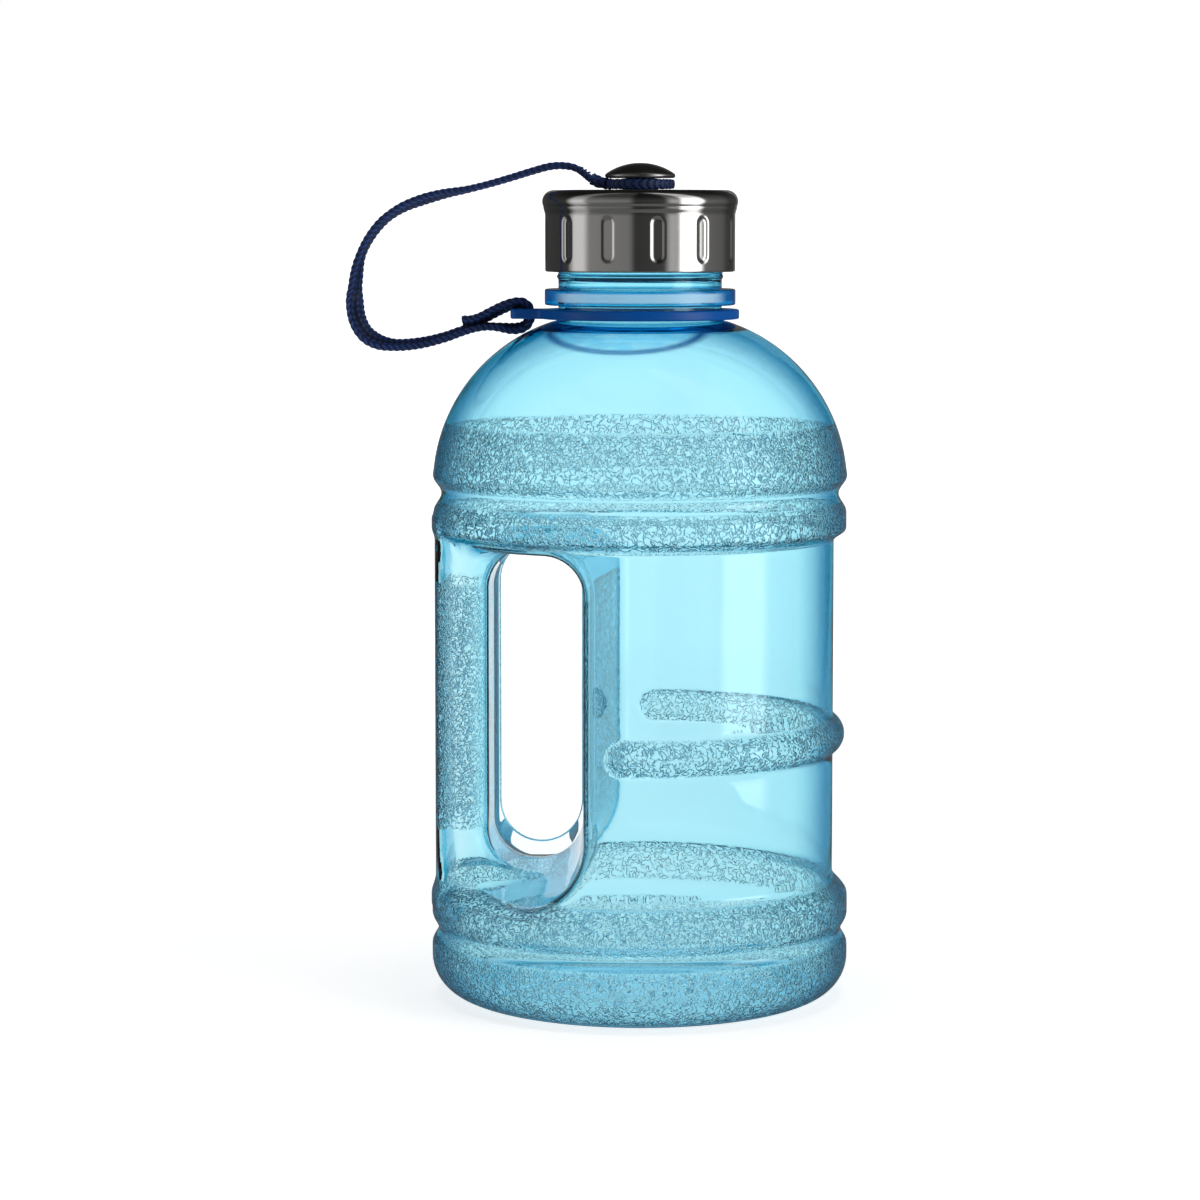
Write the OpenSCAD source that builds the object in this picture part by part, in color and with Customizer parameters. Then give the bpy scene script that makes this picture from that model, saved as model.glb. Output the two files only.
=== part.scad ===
// Half-gallon water jug: a blow-moulded bottle with a grip moulded into one side,
// a screw cap under a steel shell, and a strap from the cap's knob to a collar on the neck.
// Units are millimetres. The bottle's axis is Z, its foot stands on z = 0 and the grip is on -X.

/* [Bottle body] */
// Widest diameter, over the two lower bands
body_d = 130; // [129.6:0.2:130.4]
// Thickness of the moulded wall
wall = 1.3; // [1.0:0.1:1.6]
// Radius of the straight wall between the lower and upper bands
wall_r = 60.3; // [59.8:0.1:60.8]
// Radius of the upper band and the shoulder
upper_r = 64.2; // [63.8:0.1:64.4]
// Height of the push-up in the middle of the base
push_up = 5.5; // [3:0.5:7]

/* [Grip] */
// Half of the grip's thickness, front to back
grip_half = 20.5; // [19:0.5:22]
// Distance from the axis to the grip's inner face
grip_in_x = 45.9; // [45:0.1:47]
// Distance from the axis to the hand hole's wall on the body side
hole_wall_x = 17.8; // [17:0.1:19]
// Floor of the hand hole at the mould's parting plane
hole_floor_z = 42; // [41:0.5:44]
// Ceiling of the hand hole at the mould's parting plane
hole_top_z = 140.5; // [139:0.5:141]
// Thickness of the flat web that the mould pinches round the hand hole
web_t = 1.5; // [1:0.1:2]

/* [Rib] */
// Height of the middle of the raised rib
rib_z = 82.2; // [75:0.5:100]
// Half of the rib's height
rib_half = 5.3; // [4.5:0.1:6]
// Radius to the rib's crest
rib_r = 63.9; // [63:0.1:64.2]

/* [Neck and thread] */
// Outer radius of the neck
neck_r = 25.3; // [25.2:0.1:25.4]
// Radius of the mouth's bore
mouth_r = 23.3; // [22.5:0.1:23.5]
// Height of the mouth's rim
rim_z = 246.2; // [246.1:0.1:246.3]
// Radius of the neck's support flange
flange_r = 29.55; // [29:0.05:30]
// Rise of the thread in one turn
pitch = 4.2; // [4:0.1:4.5]
// Radius over the neck's thread
thread_r = 26.9; // [26.6:0.1:26.9]

/* [Cap] */
// Radius of the steel shell's skirt
cap_r = 29.4; // [29.4:0.1:29.8]
// Radius of the rolled bead round the shell's top
bead_r = 3.5; // [3.3:0.1:3.6]
// Thickness of the shell's steel
steel_t = 0.4; // [0.3:0.05:0.4]
// Number of grip dimples round the skirt
dimples = 12; // [6:1:16]
// Radius of the knob
knob_r = 10.9; // [10:0.1:12]

/* [Collar and strap] */
// Outer radius of the collar ring
collar_r = 30.7; // [30:0.1:32]
// Reach of the collar's tab from the axis
tab_reach = 40; // [39.5:0.1:40.5]
// Width of the flat strap
strap_w = 6; // [5:0.5:7]
// Thickness of the flat strap
strap_t = 2; // [1.6:0.1:2.2]

/* [Hidden] */
$fn = 96;
hull_fn = 32;
eps = 0.02;

// Heights of the bands, from the foot up
band_r = body_d / 2;
foot_edge_r = 12.5;
foot_ring_r = band_r - foot_edge_r;
foot_ring_w = 4;
low_groove_z = 20.8;
low_groove_r = 63;
wall_low_z = 39;
wall_high_z = 142.6;
high_groove_z = 157.2;
high_groove_r = 61.7;
dome_c = [10.7, 159.1];
dome_r = 53.7;
dome_start_z = 162.8;
flange_z = [215.3, 220.3];
neck_foot_z = 207;

// Hand hole and the recesses beside it
hole_corner_r = 13;
hole_low_corner_r = 26;
hole_reach = 75;
hole_drop = 12.5;
hole_rise = 1.6;
hole_draft = 7.4;
grip_corner_r = 7;
grip_r = 63.9;
trim_r = 12.7;
trim_x = -hole_wall_x - 0.4 - trim_r;
trim_z = [59.9, 129.4];
rib_end_x = -5.5;

// Thread ridges, on the neck and inside the liner
ridge_root_w = 1.6;
ridge_crest_w = 0.7;
ridge_sink = 0.3;
thread_z = 224.8;
thread_turns = 3.75;
liner_root_r = 27.4;
liner_crest_r = 25.9;
liner_turns = 2;
segments = 36;

// Cap stack, from the rim up
cap_foot_z = 225.6;
cap_top_z = 250.7;
liner_z = [226.1, cap_top_z - steel_t];
liner_plate_z = 248.6;
liner_r = 28.35;
gasket_z = rim_z + 0.1;
dimple_depth = 0.6;
dimple_w = 3.6;
dimple_h = 12.4;
dimple_z = 235.6;
screw_r = 2;
screw_head_r = 4.2;
washer_r = 5.5;
washer_t = 0.6;
knob_z = [254.4, 259.1];
stem_r = 4.4;
bush_in_r = 4.48;
bush_r = 5.6;

// Collar
collar_bore_r = 25.7;
collar_z = [211, 214];
tab_w = 12;
slot_x = [32.2, 37.2];
slot_w = 8;

// Strap routes in the plane of the grip, as [x, z]. They meet at the outer bend, 0.4 mm apart.
eye_mid_r = 9.2;
eye_z = 252.55;
eye_h = 3.2;
eye_w = 3.4;
upper_route = [[-12.5, 252.7], [-15.8, 254.6], [-19.4, 257.2], [-23.5, 258.2], [-28, 258],
               [-33.4, 256.6], [-40, 254.6], [-47, 252.6], [-54, 250.9], [-61, 249.6],
               [-68, 247.7], [-74.4, 245.2], [-80, 241.4], [-84.5, 236], [-87.6, 229.6],
               [-89, 222]];
lower_route = [[-89.02, 221.6], [-89.3, 216], [-88.4, 210.4], [-86, 206.2], [-82.2, 203.7],
               [-77.6, 202.7], [-72.4, 202.8], [-66.5, 203.7], [-60.5, 205.3], [-56, 206.9],
               [-52, 208], [-48, 208.5], [-44, 208.3], [-40.5, 207.9], [-37.8, 208], [-35.8, 208.8],
               [-34.6, 210.4], [-34.3, 212.5], [-34.8, 214.4], [-36.3, 215.6], [-38.7, 215.7],
               [-42, 214.7], [-46, 212.8], [-49.5, 211], [-52.5, 210.1], [-55.4, 210]];

// ---- Shared shapes ----

// Points on an arc about c, from angle a0 to a1
function arc(c, r, a0, a1, n) =
    [for (i = [0 : n]) let (a = a0 + (a1 - a0) * i / n) c + r * [cos(a), sin(a)]];

// Points that ease from p to q along z, without p itself
function ease(p, q, n = 5) =
    [for (i = [1 : n]) let (t = i / n, w = (1 - cos(180 * t)) / 2)
        [p.x + (q.x - p.x) * w, p.y + (q.y - p.y) * t]];

// A path of [r, z] points moved by d to its left, which is inwards on the bottle
function inset(p, d) =
    [for (i = [0 : len(p) - 1])
        let (a = p[max(i - 1, 0)], b = p[min(i + 1, len(p) - 1)],
             t = i == 0 ? [1, 0] : (b - a) / norm(b - a))
        p[i] + d * [-t.y, t.x]];

// Outline of the bottle, from the middle of the pushed-up base to the foot of the neck
base_in_r = foot_ring_r - foot_ring_w;
base_curve = (pow(base_in_r, 2) + pow(push_up, 2)) / (2 * push_up);
base_path = [for (i = [0 : 5]) let (r = base_in_r * i / 5)
    [r, push_up - base_curve + sqrt(pow(base_curve, 2) - r * r)]];
side_path = concat(
    base_path,
    arc([foot_ring_r, foot_edge_r], foot_edge_r, -90, 0, 8),
    [[band_r, 15.8]],
    ease([band_r, 15.8], [low_groove_r, low_groove_z]),
    ease([low_groove_r, low_groove_z], [band_r, 26]),
    [[band_r, 31.5]],
    ease([band_r, 31.5], [wall_r, wall_low_z]),
    [[wall_r, wall_high_z]],
    ease([wall_r, wall_high_z], [upper_r, 146.4]),
    [[upper_r, 151.4]],
    ease([upper_r, 151.4], [high_groove_r, high_groove_z]),
    ease([high_groove_r, high_groove_z], [dome_c.x + dome_r, dome_start_z]),
    arc(dome_c, dome_r, 6, acos((neck_r - dome_c.x) / dome_r), 10));

// A bar with a four-sided section swept along a helix, ends tapered to a lead-in
module helix_ridge(r_root, r_crest, turns, z0) {
    n = round(turns * segments);
    lead = 5;
    pts = [for (i = [0 : n])
        let (a = 360 * i / segments, z = z0 + pitch * i / segments,
             k = min(1, min(i, n - i) / lead + 0.05), rc = r_root + (r_crest - r_root) * k,
             side = sign(r_crest - r_root), rr = r_root - side * ridge_sink)
        for (q = [[rr, -ridge_root_w / 2], [rc, -ridge_crest_w / 2],
                  [rc, ridge_crest_w / 2], [rr, ridge_root_w / 2]])
            [q.x * cos(a), q.x * sin(a), z + q.y]];
    sides = [for (i = [0 : n - 1], j = [0 : 3]) let (k = (j + 1) % 4)
        [4 * i + j, 4 * i + k, 4 * (i + 1) + k, 4 * (i + 1) + j]];
    faces = concat([[3, 2, 1, 0]], sides, [[4 * n, 4 * n + 1, 4 * n + 2, 4 * n + 3]]);
    inside = r_crest < r_root;
    polyhedron(pts, inside ? [for (f = faces) [for (i = [len(f) - 1 : -1 : 0]) f[i]]] : faces);
}

// A flat band swept along a route in the XZ plane: width along Y, thickness t
module band(route, w, t) {
    n = len(route) - 1;
    c = t * 0.35;
    ring = [[-w / 2 + c, -t / 2], [w / 2 - c, -t / 2], [w / 2, -t / 2 + c], [w / 2, t / 2 - c],
            [w / 2 - c, t / 2], [-w / 2 + c, t / 2], [-w / 2, t / 2 - c], [-w / 2, -t / 2 + c]];
    m = len(ring);
    pts = [for (i = [0 : n])
        let (d = route[min(i + 1, n)] - route[max(i - 1, 0)], u = d / norm(d))
        for (q = ring) [route[i].x - u.y * q.y, q.x, route[i].y + u.x * q.y]];
    sides = [for (i = [0 : n - 1], j = [0 : m - 1]) let (k = (j + 1) % m)
        [m * i + j, m * (i + 1) + j, m * (i + 1) + k, m * i + k]];
    polyhedron(pts, concat([[for (j = [0 : m - 1]) j]], sides,
                           [[for (j = [m - 1 : -1 : 0]) m * n + j]]));
}

// ---- Bottle ----

// Solid of revolution, set in by d
module bottle_round(d) {
    path = inset(side_path, d);
    rotate_extrude() polygon(concat(path, [[0, path[len(path) - 1].y]]));
}

// Outer face of the grip, flush with the bands, set in by d
module grip_bulge(d) {
    half = grip_half - d;
    intersection() {
        translate([0, 0, 30 + d]) cylinder(r = grip_r - d, h = 119 - 2 * d);
        translate([-80, -half, 0]) cube([80 - grip_in_x, 2 * half, 200]);
    }
}

// Raised rib round the side away from the grip, set in by d
module rib(d) {
    half = rib_half - d;
    intersection() {
        translate([0, 0, rib_z]) rotate_extrude()
            polygon(concat([[wall_r - 3, half], [wall_r - 3, -half]],
                [for (i = [0 : 8]) let (a = -90 + 22.5 * i)
                    [wall_r - d + (rib_r - wall_r) * cos(a), half * sin(a)]]));
        translate([rib_end_x + rib_half, 0, rib_z]) rotate([90, 0, 0])
            linear_extrude(160, center = true) {
                circle(half);
                translate([0, -half]) square([80, 2 * half]);
            }
    }
}

// Outline of the recess in the XZ plane, grown by e. low_r and top_r round its right corners.
module recess_outline(right_x, floor_z, top_z, low_r, top_r) {
    translate([-90, floor_z]) square([90 + right_x - low_r, top_z - floor_z - top_r]);
    translate([-90, floor_z + low_r]) square([90 + right_x - top_r, top_z - floor_z - low_r]);
    translate([right_x - low_r, floor_z + low_r]) circle(low_r);
    translate([right_x - top_r, top_z - top_r]) circle(top_r);
    translate([right_x - low_r, floor_z + low_r])
        square([low_r, top_z - floor_z - low_r - top_r]);
}

// Recess beside the grip, on the front (side = -1) or the back (side = 1), grown by e
module recess_half(side, e) {
    hull() {
        translate([0, -side, 0]) rotate([90, 0, 0]) linear_extrude(eps, $fn = hull_fn)
            recess_outline(-hole_wall_x + e, hole_floor_z - e, hole_top_z + e,
                           hole_corner_r + e, hole_corner_r + e);
        translate([0, side * hole_reach, 0]) rotate([90, 0, 0]) linear_extrude(eps, $fn = hull_fn)
            recess_outline(-hole_wall_x + hole_draft + e, hole_floor_z - hole_drop - e,
                           hole_top_z + hole_rise + e, hole_low_corner_r + e, hole_corner_r + e);
    }
}

// The grip's column, left standing between the two recesses, set in by d
module grip_column(d) {
    half = grip_half - d;
    inner = -grip_in_x - d;
    r = grip_corner_r - d;
    linear_extrude(200) {
        translate([-80, -half]) square([80 + inner - r, 2 * half]);
        translate([-80, -half + r]) square([80 + inner, 2 * (half - r)]);
        for (s = [-1, 1]) translate([inner - r, s * (half - r)]) circle(r);
    }
}

module recess(e) {
    difference() {
        union() for (side = [-1, 1]) recess_half(side, e);
        grip_column(e);
    }
}

// Thin web across the parting plane, trimmed to the hand hole
module web() {
    lap = wall / 2;
    rotate([90, 0, 0]) linear_extrude(web_t, center = true) difference() {
        intersection() {
            recess_outline(-hole_wall_x + lap, hole_floor_z - lap, hole_top_z + lap,
                           hole_corner_r + lap, hole_corner_r + lap);
            translate([-grip_in_x - lap, 0]) square([60, 200]);
        }
        for (z = trim_z) translate([trim_x, z]) circle(trim_r);
        translate([trim_x - trim_r, trim_z[0]]) square([2 * trim_r, trim_z[1] - trim_z[0]]);
    }
}

// Point on the dome at radius r, set in by d
function dome_at(r, d) = [r, dome_c.y + sqrt(pow(dome_r - d, 2) - pow(r - dome_c.x, 2))];

// Neck ring with its support flange, thick where it meets the dome
module neck() {
    c = 0.5;
    rotate_extrude() polygon([
        [neck_r, dome_at(neck_r, wall / 2).y], [neck_r, flange_z[0]],
        [flange_r - c, flange_z[0]], [flange_r, flange_z[0] + c],
        [flange_r, flange_z[1] - c], [flange_r - c, flange_z[1]],
        [neck_r, flange_z[1]], [neck_r, rim_z - c], [neck_r - c, rim_z],
        [mouth_r, rim_z], [mouth_r, neck_foot_z + 1.5], [mouth_r + 0.7, neck_foot_z],
        [neck_r + 3, neck_foot_z + 0.3], dome_at(neck_r + 6.5, wall / 2),
        dome_at(neck_r + 3, wall / 2)]);
}

module shell_solid(d) {
    difference() {
        union() {
            bottle_round(d);
            grip_bulge(d);
            rib(d);
        }
        recess(d);
    }
}

module jug_body() {
    color([0.35, 0.78, 0.9, 0.5]) {
        difference() {
            shell_solid(0);
            union() {
                shell_solid(wall);
                translate([0, 0, neck_foot_z - 8]) cylinder(r = (neck_r + mouth_r) / 2, h = 20);
            }
        }
        neck();
        helix_ridge(neck_r, thread_r, thread_turns, thread_z);
        web();
    }
}

// ---- Collar ----

module neck_collar() {
    color([0.07, 0.16, 0.55]) translate([0, 0, collar_z[0]])
        linear_extrude(collar_z[1] - collar_z[0]) difference() {
            union() {
                circle(collar_r);
                translate([-tab_reach + 2, -tab_w / 2]) square([tab_reach - 2, tab_w]);
                translate([-tab_reach, -tab_w / 2 + 2]) square([tab_reach, tab_w - 4]);
                for (s = [-1, 1]) translate([-tab_reach + 2, s * (tab_w / 2 - 2)]) circle(2);
            }
            circle(collar_bore_r);
            translate([-slot_x[1], -slot_w / 2]) square([slot_x[1] - slot_x[0], slot_w]);
        }
}

// ---- Cap ----

// Outline of the steel shell, set in by d, solid to the axis
module cap_outline(d) {
    bead_c = [27.2, cap_top_z - bead_r];
    r = bead_r - d;
    polygon(concat(
        [[0, cap_foot_z - (d > 0 ? 1 : 0)], [cap_r - 0.3 - d, cap_foot_z - (d > 0 ? 1 : 0)],
         [cap_r - d, cap_foot_z + 0.6]],
        arc(bead_c, r, -acos((cap_r - d - bead_c.x) / r), 90, 10),
        [[0, cap_top_z - d]]));
}

// Grip dimples, pressed in from outside, grown by e
module dimple_cutters(e) {
    half = dimple_w / 2 + e;
    run = dimple_h / 2 - dimple_w / 2;
    for (i = [0 : dimples - 1]) rotate([0, 0, 360 * (i + 0.5) / dimples])
        translate([cap_r - dimple_depth - e, 0, dimple_z]) rotate([0, 90, 0]) {
            for (s = [-1, 1]) translate([s * run, 0, 0]) cylinder(r = half, h = 3);
            translate([-run, -half, 0]) cube([2 * run, 2 * half, 3]);
        }
}

module cap_shell() {
    color([0.75, 0.75, 0.77]) difference() {
        difference() {
            rotate_extrude() cap_outline(0);
            dimple_cutters(0);
        }
        difference() {
            rotate_extrude() cap_outline(steel_t);
            dimple_cutters(steel_t);
        }
        translate([0, 0, cap_top_z - 2]) cylinder(r = screw_r + 0.1, h = 4);
    }
}

// Threaded plastic cup under the shell, with a hole for the screw
module cap_liner() {
    bore_r = screw_r + 0.1;
    bevel = 1.6;
    color([0.2, 0.35, 0.75]) {
        rotate_extrude() polygon([
            [bore_r, liner_plate_z], [liner_root_r, liner_plate_z], [liner_root_r, liner_z[0]],
            [liner_r, liner_z[0]], [liner_r, liner_z[1] - bevel],
            [liner_r - bevel, liner_z[1]], [bore_r, liner_z[1]]]);
        helix_ridge(liner_root_r, liner_crest_r, liner_turns, thread_z + 1.5 * pitch);
    }
}

module cap_gasket() {
    color([0.85, 0.87, 0.9]) translate([0, 0, gasket_z]) difference() {
        cylinder(r = liner_root_r - 0.3, h = liner_plate_z - gasket_z);
        translate([0, 0, -1]) cylinder(r = 21.8, h = 4);
    }
}

module cap_washer() {
    color([0.8, 0.8, 0.82]) translate([0, 0, liner_plate_z - washer_t]) difference() {
        cylinder(r = washer_r, h = washer_t);
        translate([0, 0, -1]) cylinder(r = screw_r + 0.1, h = 3);
    }
}

module cap_screw() {
    head_z = liner_plate_z - washer_t - 2;
    color([0.7, 0.7, 0.72]) difference() {
        union() {
            translate([0, 0, head_z + 0.6]) cylinder(r = screw_head_r, h = 1.4);
            translate([0, 0, head_z]) cylinder(r1 = screw_head_r - 0.6, r2 = screw_head_r, h = 0.6);
            translate([0, 0, head_z + 1]) cylinder(r = screw_r, h = 9);
        }
        for (a = [0, 90]) rotate([0, 0, a])
            translate([-2.2, -0.4, head_z - 0.5]) cube([4.4, 0.8, 1.5]);
    }
}

// Domed knob on a stem, with a blind hole for the screw
module cap_knob() {
    h = knob_z[1] - knob_z[0];
    edge = 1.2;
    dome = h - edge;
    cap_curve = (pow(knob_r, 2) + pow(dome, 2)) / (2 * dome);
    color([0.6, 0.6, 0.62]) difference() {
        rotate_extrude() polygon(concat(
            [[0, cap_top_z], [stem_r, cap_top_z], [stem_r, knob_z[0] + 0.2],
             [knob_r - 1.4, knob_z[0]], [knob_r - 0.2, knob_z[0] + 0.5]],
            arc([0, knob_z[1] - cap_curve], cap_curve, 90 - asin(knob_r / cap_curve), 90, 8)));
        translate([0, 0, cap_top_z - 1]) cylinder(r = screw_r + 0.02, h = 7.4);
    }
}

module knob_bush() {
    color([0.25, 0.55, 0.95]) translate([0, 0, cap_top_z + 0.15]) difference() {
        cylinder(r = bush_r, h = 3.4);
        translate([0, 0, -1]) cylinder(r = bush_in_r, h = 6);
    }
}

// ---- Strap ----

// Upper half: the loose eye round the bush, then the run out to the bend
module strap_upper() {
    c = 0.8;
    color([0.1, 0.14, 0.38]) {
        translate([0, 0, eye_z]) rotate_extrude() polygon([for (q = [
            [-1, -1 + c, 0, 0], [-1 + c, -1, 0, 0], [1 - c, -1, 0, 0], [1, -1 + c, 0, 0],
            [1, 1 - c, 0, 0], [1 - c, 1, 0, 0], [-1 + c, 1, 0, 0], [-1, 1 - c, 0, 0]])
            [eye_mid_r + q[0] * eye_w / 2, q[1] * eye_h / 2]]);
        band(concat([[-9.4, 252.5]], upper_route), strap_w, strap_t);
    }
}

// Lower half: from the bend down to the collar, up through its slot and back on itself
module strap_lower() {
    color([0.1, 0.14, 0.38]) band(lower_route, strap_w, strap_t);
}

// A row of short threads across the strap
module stitches(from, to, count, lift) {
    for (i = [0 : count - 1]) let (p = from + (to - from) * i / (count - 1))
        translate([p.x, -strap_w / 2 + 1, p.y + lift]) rotate([-90, 0, 0])
            cylinder(r = 0.25, h = strap_w - 2, $fn = 16);
}

module eye_stitching() {
    color([0.16, 0.2, 0.5]) stitches([-14.6, 254.1], [-18, 256.3], 4, 1.35);
}

module collar_stitching() {
    color([0.16, 0.2, 0.5]) stitches([-50.2, 210.75], [-54.6, 210.02], 6, 1.35);
}

jug_body();
neck_collar();
cap_shell();
cap_liner();
cap_gasket();
cap_washer();
cap_screw();
cap_knob();
knob_bush();
strap_upper();
strap_lower();
eye_stitching();
collar_stitching();
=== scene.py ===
"""Half-gallon water jug: clear blown body, steel-shelled cap, collar and braided strap."""
import math

import bmesh
import bpy
import numpy as np
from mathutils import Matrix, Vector


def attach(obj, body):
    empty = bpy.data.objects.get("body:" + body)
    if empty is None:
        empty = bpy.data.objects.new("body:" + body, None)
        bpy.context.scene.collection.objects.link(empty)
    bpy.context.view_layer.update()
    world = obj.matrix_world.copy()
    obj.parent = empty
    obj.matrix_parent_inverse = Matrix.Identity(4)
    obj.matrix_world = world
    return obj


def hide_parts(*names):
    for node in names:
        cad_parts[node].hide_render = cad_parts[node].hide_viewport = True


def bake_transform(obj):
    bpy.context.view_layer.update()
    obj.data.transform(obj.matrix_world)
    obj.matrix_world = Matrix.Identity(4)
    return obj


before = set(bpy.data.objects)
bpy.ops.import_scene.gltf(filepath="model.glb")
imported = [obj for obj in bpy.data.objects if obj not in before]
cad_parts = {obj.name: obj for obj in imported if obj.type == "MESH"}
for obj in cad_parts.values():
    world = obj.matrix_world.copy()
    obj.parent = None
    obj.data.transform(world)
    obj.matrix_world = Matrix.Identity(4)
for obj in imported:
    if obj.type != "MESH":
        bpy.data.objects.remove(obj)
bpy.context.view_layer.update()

MM = 0.001

# ---- The jug's dimensions, in millimetres, as the CAD model has them ----
BAND_R, FOOT_EDGE_R, FOOT_RING_W, PUSH_UP = 65.0, 12.5, 4.0, 5.5
WALL_R, WALL_LOW_Z, WALL_HIGH_Z, WALL = 60.3, 39.0, 142.6, 1.3
LOW_GROOVE = (63.0, 20.8)
HIGH_GROOVE = (61.7, 157.2)
UPPER_R = 64.2
DOME_C, DOME_R, DOME_START_Z = (10.7, 159.1), 53.7, 162.8
GRIP_HALF, GRIP_IN_X, GRIP_R, GRIP_CORNER_R = 20.5, 45.9, 63.9, 7.0
HOLE_WALL_X, HOLE_FLOOR_Z, HOLE_TOP_Z = 17.8, 42.0, 140.5
HOLE_REACH, HOLE_DRAFT, HOLE_DROP, HOLE_RISE = 75.0, 7.4, 12.5, 1.6
TRIM_R, TRIM_Z, WEB_T = 12.7, (59.9, 129.4), 1.5
RIB_Z, RIB_R, RIB_END_X = 82.2, 63.9, -5.5
NECK_R, MOUTH_R, RIM_Z, FLANGE_R = 25.3, 23.3, 246.2, 29.55
FLANGE_Z = (215.3, 220.3)
THREAD_R, PITCH, THREAD_Z, THREAD_TURNS = 26.9, 4.2, 224.8, 3.75
RECESS_LOW_R, RECESS_HIGH_R, COLUMN_FILLET, RECESS_EDGE_R = 13.0, 12.0, 13.0, 5.5
BULGE_Z, BULGE_FILLET = (30, 149), 2.5
RIB_BAR_R, RIB_END_BACK, RIB_FILLET = 6.2, 5.7, 1.0

# ---- Where the body is embossed, in millimetres ----
EMBOSS_BANDS = ((159.6, 178.8), (143.6, 154.9), (23.0, 37.0), (1.5, 18.4))
EMBOSS_MIN_R, EMBOSS_RIB_X = 55.5, -12
EMBOSS_GRIP_X, EMBOSS_GRIP_Z = -46.5, (53.7, 129.7)
EMBOSS_WALL_Z, EMBOSS_WALL_Y, EMBOSS_WALL_DEPTH = (50, 128.5), (5, 56), 2.4
BACK_EMBOSS = 0.6       # how strong it is on the back half


# ---- Small helpers ----

def link(obj):
    bpy.context.scene.collection.objects.link(obj)
    return obj


def mesh_object(name, verts, faces, scale=MM):
    """A smooth-shaded mesh object from points in millimetres."""
    mesh = bpy.data.meshes.new(name)
    mesh.from_pydata((np.asarray(verts, float) * scale).tolist(), [], [list(map(int, f)) for f in faces])
    mesh.update()
    mesh.shade_smooth()
    return link(bpy.data.objects.new(name, mesh))


def point_value(obj, name, values):
    """Keep one number for each vertex, for the material to read."""
    attr = obj.data.attributes.new(name, "FLOAT", "POINT")
    attr.data.foreach_set("value", np.asarray(values, np.float32))


def outward(obj):
    """Turn every face of a closed mesh outwards."""
    bm = bmesh.new()
    bm.from_mesh(obj.data)
    bmesh.ops.recalc_face_normals(bm, faces=bm.faces)
    bm.to_mesh(obj.data)
    bm.free()


def arc(centre, r, a0, a1, n):
    a = np.radians(np.linspace(a0, a1, n + 1))
    return [(centre[0] + r * math.cos(t), centre[1] + r * math.sin(t)) for t in a]


def ease(p, q, n=9):
    """Points that ease from p to q along z, without p."""
    out = []
    for i in range(1, n + 1):
        t = i / n
        w = (1 - math.cos(math.pi * t)) / 2
        out.append((p[0] + (q[0] - p[0]) * w, p[1] + (q[1] - p[1]) * t))
    return out


def lathe_rows(profile, count):
    """Vertices of a profile turned round Z: one row of count points for each profile point."""
    a = 2 * np.pi * (np.arange(count) + 0.5) / count
    return [np.stack([r * np.cos(a), r * np.sin(a), np.full(count, z)], 1) for r, z in profile]


def ring_faces(first, second, count):
    """Quads between two rings of vertex indices."""
    return [(first[j], first[(j + 1) % count], second[(j + 1) % count], second[j]) for j in range(count)]


def lathe(name, profile, count=128, shift=None):
    """A closed turned piece. A profile that starts and ends on the axis is capped there."""
    verts, rings, faces = [], [], []
    for r, z in profile:
        if r < 1e-6:
            rings.append([len(verts)])
            verts.append((0, 0, z))
            continue
        row = lathe_rows([(r, z)], count)[0]
        if shift is not None:
            row = shift(row)
        rings.append(list(range(len(verts), len(verts) + count)))
        verts.extend(map(tuple, row))
    pairs = list(zip(rings[:-1], rings[1:]))
    if len(rings[0]) > 1 and len(rings[-1]) > 1:
        pairs.append((rings[-1], rings[0]))
    for a, b in pairs:
        if len(a) == 1:
            faces += [(a[0], b[(j + 1) % count], b[j]) for j in range(count)]
        elif len(b) == 1:
            faces += [(a[j], a[(j + 1) % count], b[0]) for j in range(count)]
        else:
            faces += ring_faces(a, b, count)
    obj = mesh_object(name, verts, faces)
    outward(obj)
    return obj


# ---- The jug's body, as a distance field ----

def round_max(a, b, r):
    """The intersection of two fields, with its edge rounded to radius r."""
    return np.minimum(-r, np.maximum(a, b)) + np.hypot(np.maximum(a + r, 0), np.maximum(b + r, 0))


def round_min(a, b, r):
    return -round_max(-a, -b, r)


def dome_z(r, inset=0.0):
    return DOME_C[1] + math.sqrt((DOME_R - inset) ** 2 - (r - DOME_C[0]) ** 2)


def side_path():
    """Outline of the turned body, from the middle of the base to the foot of the neck."""
    ring_r = BAND_R - FOOT_EDGE_R
    base_r = ring_r - FOOT_RING_W
    curve = (base_r ** 2 + PUSH_UP ** 2) / (2 * PUSH_UP)
    path = [(base_r * i / 12, PUSH_UP - curve + math.sqrt(curve ** 2 - (base_r * i / 12) ** 2))
            for i in range(13)]
    path += arc((ring_r, FOOT_EDGE_R), FOOT_EDGE_R, -90, 0, 16)
    path += [(BAND_R, 15.8)] + ease((BAND_R, 15.8), LOW_GROOVE) + ease(LOW_GROOVE, (BAND_R, 26.0))
    path += [(BAND_R, 31.5)] + ease((BAND_R, 31.5), (WALL_R, WALL_LOW_Z))
    path += [(WALL_R, WALL_HIGH_Z)] + ease((WALL_R, WALL_HIGH_Z), (UPPER_R, 146.4))
    path += [(UPPER_R, 151.4)] + ease((UPPER_R, 151.4), HIGH_GROOVE)
    path += ease(HIGH_GROOVE, (DOME_C[0] + DOME_R, DOME_START_Z))
    path += arc(DOME_C, DOME_R, 6, math.degrees(math.acos((NECK_R - DOME_C[0]) / DOME_R)), 40)
    return path


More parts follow.
